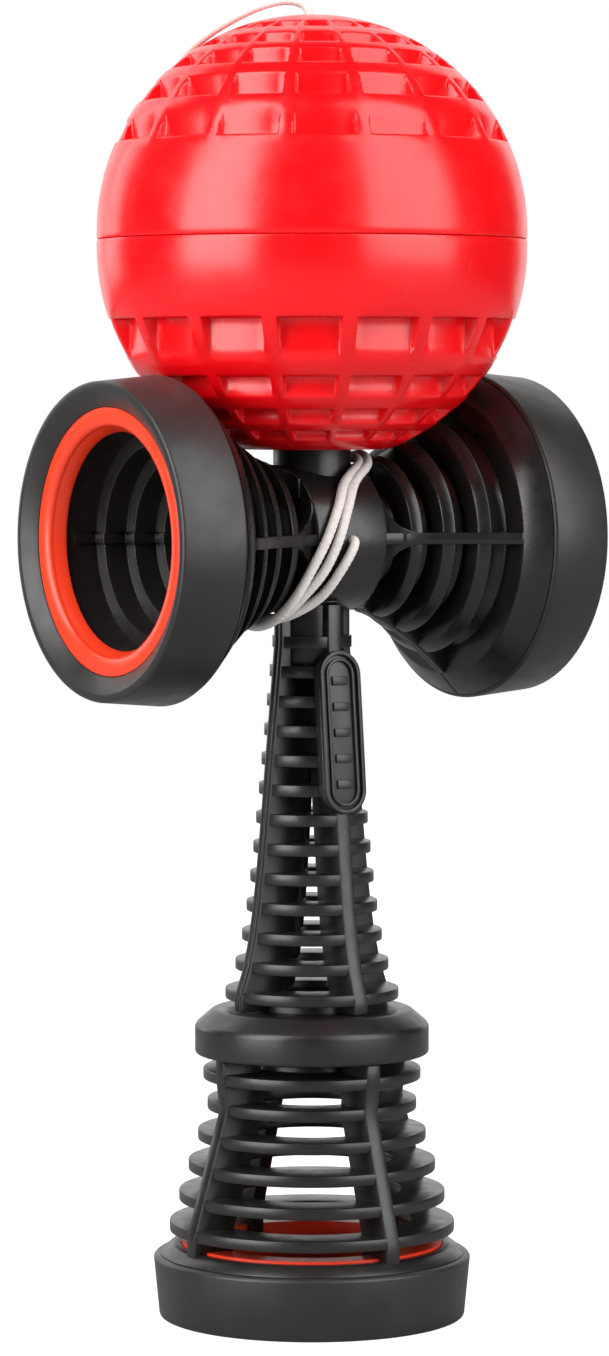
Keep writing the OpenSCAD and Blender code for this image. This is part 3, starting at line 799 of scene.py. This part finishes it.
class KENDAMA_OT_spike(bpy.types.Operator):
    """Turns the spike with its neck and its round tip"""

    bl_idname = "kendama.spike"
    bl_label = "Spike"

    def execute(self, context):
        low, high = (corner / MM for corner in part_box("spike"))
        foot_r, neck_r, tip_r = 3.38, 5.58, 2.58
        bottom, shoulder, neck_top = low.z + SKIN, low.z + 7.87, CROSS_Z + 13.5
        tip_z = high.z - tip_r
        tip = [(tip_r * math.cos(math.radians(a)), tip_z + tip_r * math.sin(math.radians(a)) - SKIN)
               for a in range(0, 86, 8)]
        spike = lathe([(0, bottom), (foot_r, bottom), (foot_r, shoulder), (neck_r, shoulder), (neck_r, neck_top),
                       *tip, (0, high.z - SKIN)], steps=64)
        cut_hole(spike, 1.8, (0, -7, CROSS_Z), (0, 0.2, CROSS_Z))
        cut_hole(spike, 2.3, (0, 0, CROSS_Z), (0, 7, CROSS_Z))
        dress(smooth(spike, 30), "tapered_spike", "ken", "handle_plastic", "spike")
        return {"FINISHED"}


def cage_ring(radius, height, thick, depth, start=0, sweep=360):
    """One flat ring of the handle, its inner edge depth millimetres in from its outer one."""
    inner, low, high = max(0.4, radius - depth), height - thick / 2, height + thick / 2
    return lathe([(inner, low), (radius, low), (radius, high), (inner, high)], start, sweep,
                 steps=max(24, round(sweep / 3.75)))


def rib_points(heights, radii, depth, top, low, proud=0.18):
    """The outline of a long rib that follows the rings' outer edges."""
    outer = [(r + proud, z) for r, z in zip(radii, heights)]
    inner = [(max(0.2, r - depth), z) for r, z in zip(reversed(radii), reversed(heights))]
    return [(max(0.2, radii[0] - depth), top), (radii[0] + proud, top), *outer,
            (radii[-1] + proud, low), (max(0.2, radii[-1] - depth), low), *inner]


class KENDAMA_OT_shaft(bpy.types.Operator):
    """Moulds the shaft's two halves with their rings and long ribs"""

    bl_idname = "kendama.shaft"
    bl_label = "Shaft"

    def execute(self, context):
        fillet = context.scene.kendama_sizes.shell_fillet
        shares = [k / (SHAFT_RINGS - 1) for k in range(SHAFT_RINGS)]
        heights = [SHAFT_TOP - t * (SHAFT_TOP - SHAFT_LOW) for t in shares]
        radii = [SHAFT_R + SHAFT_TAPER * t + SHAFT_FLARE * t ** 8 for t in shares]
        for front in (True, False):
            start = 180 if front else 0
            parts = [cage_ring(r, z, RING_THICK, RING_DEPTH, start, 180) for r, z in zip(radii, heights)]
            parts.append(lathe([(SOCKET_R, 94), (SOCKET_OUT_R, 94), (SOCKET_OUT_R, SHOULDER_Z),
                                (SOCKET_R, SHOULDER_Z)], start, 180, 40))
            parts.append(lathe([(0, 92.9), (SOCKET_OUT_R, 92.9), (SOCKET_OUT_R, 94.1), (0, 94.1)], start, 180, 40))
            parts.append(lathe([(HUB_R, 41.2), (HUB_OUT_R, 41.2), (HUB_OUT_R, SHAFT_LOW), (HUB_R, SHAFT_LOW)],
                               start, 180, 48))
            ribs = rib_points(heights, radii, RING_DEPTH, SHOULDER_Z, 44.8)
            near, far = (-RIB_HALF, -SEAM_GAP), (SEAM_GAP, RIB_HALF)
            parts.append(plate(ribs, -RIB_HALF, RIB_HALF, -90 if front else 90))
            parts.append(plate(ribs, *(near if front else far), 0))
            parts.append(plate(ribs, *(far if front else near), 180))
            half = join([round_edges(part, fillet) for part in parts])
            name = "front" if front else "back"
            dress(smooth(half), f"ribbed_shaft_{name}", "ken", "handle_plastic", f"shaft_{name}")
        return {"FINISHED"}


class KENDAMA_OT_base(bpy.types.Operator):
    """Moulds the base cage with its rings, long ribs and flange"""

    bl_idname = "kendama.base"
    bl_label = "Base cage"

    def execute(self, context):
        fillet = context.scene.kendama_sizes.shell_fillet
        pitch = (BASE_FIRST - BASE_LAST) / (BASE_RINGS - 1)
        heights = [BASE_FIRST - k * pitch for k in range(BASE_RINGS)]
        radii = [BASE_TOP_R] + [WAIST_R + BASE_SLOPE * (heights[1] - z) for z in heights[1:]]
        parts = [cage_ring(r, z, RING_THICK, RING_DEPTH) for r, z in zip(radii, heights)]
        parts.append(lathe([(HUB_R, 34.5), (15.6, 34.5), (15.6, 36.1), (HUB_OUT_R, 36.1), (HUB_OUT_R, 41.08),
                            (HUB_R, 41.08)]))
        parts.append(lathe([(SEAT_R, 2.62), (SLEEVE_R, 2.62), (SLEEVE_R, 9.16), (22.05, 9.16), (20.28, 10.58),
                            (SEAT_R, 10.58)], steps=144))
        ribs = rib_points(heights, radii, RING_DEPTH, 38.03, 9.7)
        for k in range(4):
            parts.append(plate(ribs, -RIB_HALF, RIB_HALF, 90 * k))
        cage = join([round_edges(part, fillet) for part in parts])
        dress(smooth(cage), "ribbed_base_cage", "ken", "handle_plastic", "base_cage")
        return {"FINISHED"}


def cup_outer(x):
    """Outer radius of a cup's fins and ribs at x."""
    d = max(0, x - CUP_START)
    return BARREL_R + 0.1 + 0.32 * d + 0.0222 * d * d


class KENDAMA_OT_cross(bpy.types.Operator):
    """Moulds the cross piece's two halves: barrel, finned cups, long ribs and the seats of the rims"""

    bl_idname = "kendama.cross"
    bl_label = "Cross piece"

    def bowl_steps(self):
        """The radius, lowest and highest place of each step inside a bowl."""
        floor_r = cup_outer(CUP_FLOOR) - FIN_DEPTH - 1.3
        return [(floor_r + i * (BORE_R - floor_r) / BOWL_STEPS, CUP_FLOOR + BOWL_STEP * i,
                 CUP_FLOOR + BOWL_STEP * (i + 1)) for i in range(BOWL_STEPS)]

    def cup(self, rim_r, start):
        """Half of one cup, made with its mouth up."""
        bowl = lambda x: cup_outer(x) - FIN_DEPTH
        outer = [(bowl(x), x) for x in range(CUP_START, 23, 2)]
        inner = [(BORE_R, BOWL_TOP)]
        for radius, low, high in reversed(self.bowl_steps()):
            inner += [(radius, high), (radius, low)]
        back = RIM_BACK - 0.07
        parts = [lathe([
            (0, 5.5), (bowl(CUP_START), 5.5), *outer, (bowl(FLANGE_START), FLANGE_START),
            (cup_outer(FLANGE_START) - SKIN, FLANGE_START), (min(rim_r - 0.3, cup_outer(RIM_BACK)), back),
            (SLEEVE_R, back), (SLEEVE_R, SLEEVE_END), (SEAT_R, SLEEVE_END), (SEAT_R, SEAT_START),
            (BORE_R, SEAT_START), *inner, (0, CUP_FLOOR)], start, 180, 72)]
        for x in FIN_PLACES:
            low, high, root = x - FIN_HALF, x + FIN_HALF, bowl(x) - 0.5
            parts.append(lathe([(root, low), (cup_outer(x - 0.8) - SKIN, low), (cup_outer(x + 0.8) - SKIN, high),
                                (root, high)], start, 180, 64))
        return parts

    def ribs(self, turn, low, high):
        """A long rib along a cup, with its spread end on the barrel."""
        edge = [(cup_outer(x) + 0.18, x) for x in (10.4, 12.8, 15.2, 17.6, 20, 22.4)]
        inner = [(cup_outer(x) - 4.6, x) for x in (22.9, 18, 13, 8)]
        return plate([(5.6, 5.6), (BARREL_R - SKIN, 5.6), (BARREL_R + SKIN, CUP_START), *edge,
                      (cup_outer(22.9), 22.9), *inner], low, high, turn)

    def bowl_rib(self, turn, low, high):
        """The low rib down the wall of a bowl, in line with a long rib outside."""
        steps = [*self.bowl_steps(), (BORE_R, BOWL_TOP, 30)]
        face, back = [], []
        for radius, bottom, top in steps:
            face += [(radius - 0.55, bottom + 0.5), (radius - 0.55, top + 0.5)]
            back += [(radius + 0.4, bottom + 0.5), (radius + 0.4, top - 0.4)]
        return plate([*face, *reversed(back)], low, high, turn)

    def gusset(self, turn, low, high):
        """The web where a long rib spreads into the barrel."""
        curve = [(0.85 + 5.0 * (1 - math.sin(math.radians(a))), 6 + 5.2 - 5.0 * math.cos(math.radians(a)))
                 for a in range(0, 91, 10)]
        side = [(min(w, high), x) for w, x in curve]
        other = [(max(-w, low), x) for w, x in reversed(curve)]
        web = plate([(max(-5.85, low), 5.6), (min(5.85, high), 5.6), *side, *other], 0, 1, 0)
        for vert in web.data.vertices:
            w, x = vert.co.x / MM, vert.co.z / MM
            edge = 10.46 if x < 8 else 10.55 + 0.45 * (x - 8)
            radius = math.sqrt(max(0, edge ** 2 - w * w)) if vert.co.y > 0.5 * MM else 5.8
            vert.co = (radius * MM, w * MM, x * MM)
        pick(web)
        bpy.ops.object.mode_set(mode="EDIT")
        bpy.ops.mesh.select_all(action="SELECT")
        bpy.ops.mesh.normals_make_consistent(inside=False)
        bpy.ops.object.mode_set(mode="OBJECT")
        web.rotation_euler.z = math.radians(turn)
        return settle(web)

    def execute(self, context):
        fillet = context.scene.kendama_sizes.shell_fillet
        for front in (True, False):
            start = 180 if front else 0
            parts = []
            for side, rim_r in ((1, BIG_RIM_R), (-1, SMALL_RIM_R)):
                cup = self.cup(rim_r, start)
                for turn in (0, 90, 180, 270):
                    y = math.sin(math.radians(turn)) * (-1 if front else 1)
                    if y < -0.5:
                        continue
                    low, high = -CROSS_RIB_HALF, CROSS_RIB_HALF
                    wide_low, wide_high = -9, 9
                    if abs(y) < 0.5:
                        inward = (turn == 0) != front
                        low, high = (SEAM_GAP, high) if inward else (low, -SEAM_GAP)
                        wide_low, wide_high = (SEAM_GAP, 9) if inward else (-9, -SEAM_GAP)
                    cup.append(self.ribs(turn, low, high))
                    cup.append(self.bowl_rib(turn, low, high))
                    cup.append(self.gusset(turn, wide_low, wide_high))
                parts += [lay_on_cross(round_edges(part, fillet), side) for part in cup]
            barrel = lathe([(0, -6), (BARREL_R, -6), (BARREL_R, 6), (0, 6)], start, 180, 72)
            parts.append(lay_on_cross(round_edges(barrel, 1.5 * fillet, 3), 1))
            half = join(parts)
            name = "front" if front else "back"
            dress(smooth(half), f"finned_cross_{name}", "ken", "cross_plastic", f"cross_{name}")
        return {"FINISHED"}


class KENDAMA_OT_ball(bpy.types.Operator):
    """Moulds the ball's two shells with their rows of pockets, and its inner tube"""

    bl_idname = "kendama.ball"
    bl_label = "Ball"

    def shell(self, rows, lowest, step, fillet):
        """One shell with its pockets, seam down, from lowest degrees of the flat or hole at its top."""
        radius, inner = BALL_R, BALL_INNER_R
        marks = sorted({0.0, *(a for row in rows for a in row)})
        levels = []
        for a, b in zip(marks, marks[1:] + [lowest]):
            count = max(1, round((b - a) / 3.2))
            levels += [a + (b - a) * k / count for k in range(count)]
        levels.append(lowest)
        arc = [(radius * math.cos(math.radians(a)), radius * math.sin(math.radians(a))) for a in levels]
        top = arc[-1]
        inside = [(top[0], math.sqrt(inner ** 2 - top[0] ** 2))]
        inside += [(inner * math.cos(math.radians(a)), inner * math.sin(math.radians(a)))
                   for a in (60, 50, 40, 30, 20, 10, 0) if inner * math.cos(math.radians(a)) > top[0] + 0.5]
        sector, rib = 360 / POCKETS, POCKET_RIB
        shell = lathe([(radius, -step), *arc, *inside, (inner, -step)], 0, rib, 2)
        rest = lathe([(radius, -step), *arc, *inside, (inner, -step)], rib, sector - rib, 6)
        pick(rest)
        bpy.ops.object.mode_set(mode="EDIT")
        for low, high in rows:
            back = radius * math.cos(math.radians(high))
            z_low, z_high = radius * math.sin(math.radians(low)), radius * math.sin(math.radians(high))
            if not select_where(rest, "FACE", lambda f: is_pocket_face(f, z_low, z_high)):
                raise RuntimeError("a row of pockets has no faces")
            bpy.ops.mesh.extrude_region_move()
            mesh = bmesh.from_edit_mesh(rest.data)
            for vert in mesh.verts:
                if vert.select:
                    vert.co.xy *= back * MM / vert.co.xy.length
            bmesh.update_edit_mesh(rest.data)
        bpy.ops.object.mode_set(mode="OBJECT")
        shell = join([shell, rest])
        bpy.ops.object.mode_set(mode="EDIT")
        if select_where(shell, "FACE", lambda f: is_cut_face(f, sector, rib)):
            bpy.ops.mesh.delete(type="FACE")
        bpy.ops.mesh.select_all(action="SELECT")
        bpy.ops.mesh.remove_doubles(threshold=0.004 * MM)
        bpy.ops.mesh.select_all(action="SELECT")
        bpy.ops.mesh.spin(steps=POCKETS - 1, dupli=True, angle=-math.radians(360 - sector), center=(0, 0, 0),
                          axis=(0, 0, 1))
        bpy.ops.mesh.select_all(action="SELECT")
        bpy.ops.mesh.remove_doubles(threshold=0.004 * MM)
        bpy.ops.mesh.select_all(action="SELECT")
        bpy.ops.mesh.normals_make_consistent(inside=False)
        bpy.ops.object.mode_set(mode="OBJECT")
        return smooth(round_edges(shell, fillet, 2, 34))

    def execute(self, context):
        fillet = context.scene.kendama_sizes.ball_fillet
        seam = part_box("ball_lower_shell")[1].z / MM
        for name, rows, lowest, flip in (("upper", UPPER_ROWS, 82.7, 1), ("lower", LOWER_ROWS, 68.9, -1)):
            shell = self.shell(rows, lowest, SEAM_STEP, fillet)
            if flip < 0:
                shell.rotation_euler.x = math.radians(180)
            shell = settle(shell)
            shell.rotation_euler.z = math.radians(POCKET_START)
            shell.location.z = (seam + flip * 1.2) * MM
            dress(settle(shell), f"pocketed_{name}_shell", "tama", "ball_plastic", f"ball_{name}_shell")
        low, high = (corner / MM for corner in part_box("ball_tube"))
        inner, outer, bottom, top = 9.02, 10.18, low.z + SKIN, high.z - SKIN
        tube = lathe([(9.9, bottom), (outer, bottom), (outer, top), (inner, top), (inner, low.z + 0.9)], steps=96)
        round_edges(tube, 0.15 * MM, 2, 30)
        dress(smooth(tube), "hole_tube", "tama", "ball_plastic", "ball_tube")
        return {"FINISHED"}


def is_pocket_face(face, z_low, z_high):
    """Whether a face lies on the ball's outer surface between two heights."""
    middle = face.calc_center_median() / MM
    inside = BALL_INNER_R * math.cos(math.asin(min(1, middle.z / BALL_INNER_R)))
    return z_low < middle.z < z_high and middle.xy.length > inside + 1.5 and abs(middle.length - BALL_R) < 0.4


def is_cut_face(face, sector, rib):
    """Whether a face lies in one of the flat cuts at the two ends of a sector's strips."""
    middle = face.calc_center_median()
    for angle in (0, rib, sector):
        a = math.radians(angle)
        across = Vector((-math.sin(a), math.cos(a), 0))
        if all(abs(v.co.dot(across)) < 0.003 * MM for v in face.verts) and len(face.verts) > 12:
            return True
    return False


class KENDAMA_OT_finishes(bpy.types.Operator):
    """Gives every CAD node that is still shown its finish"""

    bl_idname = "kendama.finishes"
    bl_label = "Finishes"

    def execute(self, context):
        for part in frame["record"]["subparts"]:
            node = frame["nodes"][part["node"]]
            node.data.materials.clear()
            node.data.materials.append(finish_for(part["material_slot"]))
        return {"FINISHED"}


class KENDAMA_PT_panel(bpy.types.Panel):
    """Lists the kendama's steps in the sidebar"""

    bl_label = "Kendama"
    bl_idname = "KENDAMA_PT_panel"
    bl_space_type = "VIEW_3D"
    bl_region_type = "UI"
    bl_category = "Kendama"

    def draw(self, context):
        for group in ("kendama_sizes", "kendama_colours", "kendama_studio"):
            settings = getattr(context.scene, group)
            for name in settings.bl_rna.properties.keys():
                if name not in ("rna_type", "name"):
                    self.layout.prop(settings, name)
        for step in STEPS:
            self.layout.operator(step.bl_idname)


STEPS = (
    KENDAMA_OT_stage, KENDAMA_OT_finishes, KENDAMA_OT_string, KENDAMA_OT_knots, KENDAMA_OT_bead,
    KENDAMA_OT_grommet, KENDAMA_OT_rims, KENDAMA_OT_rings, KENDAMA_OT_collar, KENDAMA_OT_badge,
    KENDAMA_OT_spike, KENDAMA_OT_shaft, KENDAMA_OT_base, KENDAMA_OT_cross, KENDAMA_OT_ball,
)
GROUPS = {"kendama_sizes": KendamaSizes, "kendama_colours": KendamaColours, "kendama_studio": KendamaStudio}


def register():
    for group in GROUPS.values():
        bpy.utils.register_class(group)
    for step in STEPS:
        bpy.utils.register_class(step)
    bpy.utils.register_class(KENDAMA_PT_panel)
    for name, group in GROUPS.items():
        setattr(bpy.types.Scene, name, bpy.props.PointerProperty(type=group))


def unregister():
    for name in GROUPS:
        delattr(bpy.types.Scene, name)
    bpy.utils.unregister_class(KENDAMA_PT_panel)
    for step in reversed(STEPS):
        bpy.utils.unregister_class(step)
    for group in reversed(GROUPS.values()):
        bpy.utils.unregister_class(group)


def main():
    register()
    for step in STEPS:
        group, name = step.bl_idname.split(".")
        getattr(getattr(bpy.ops, group), name)()


if __name__ == "__main__":
    main()
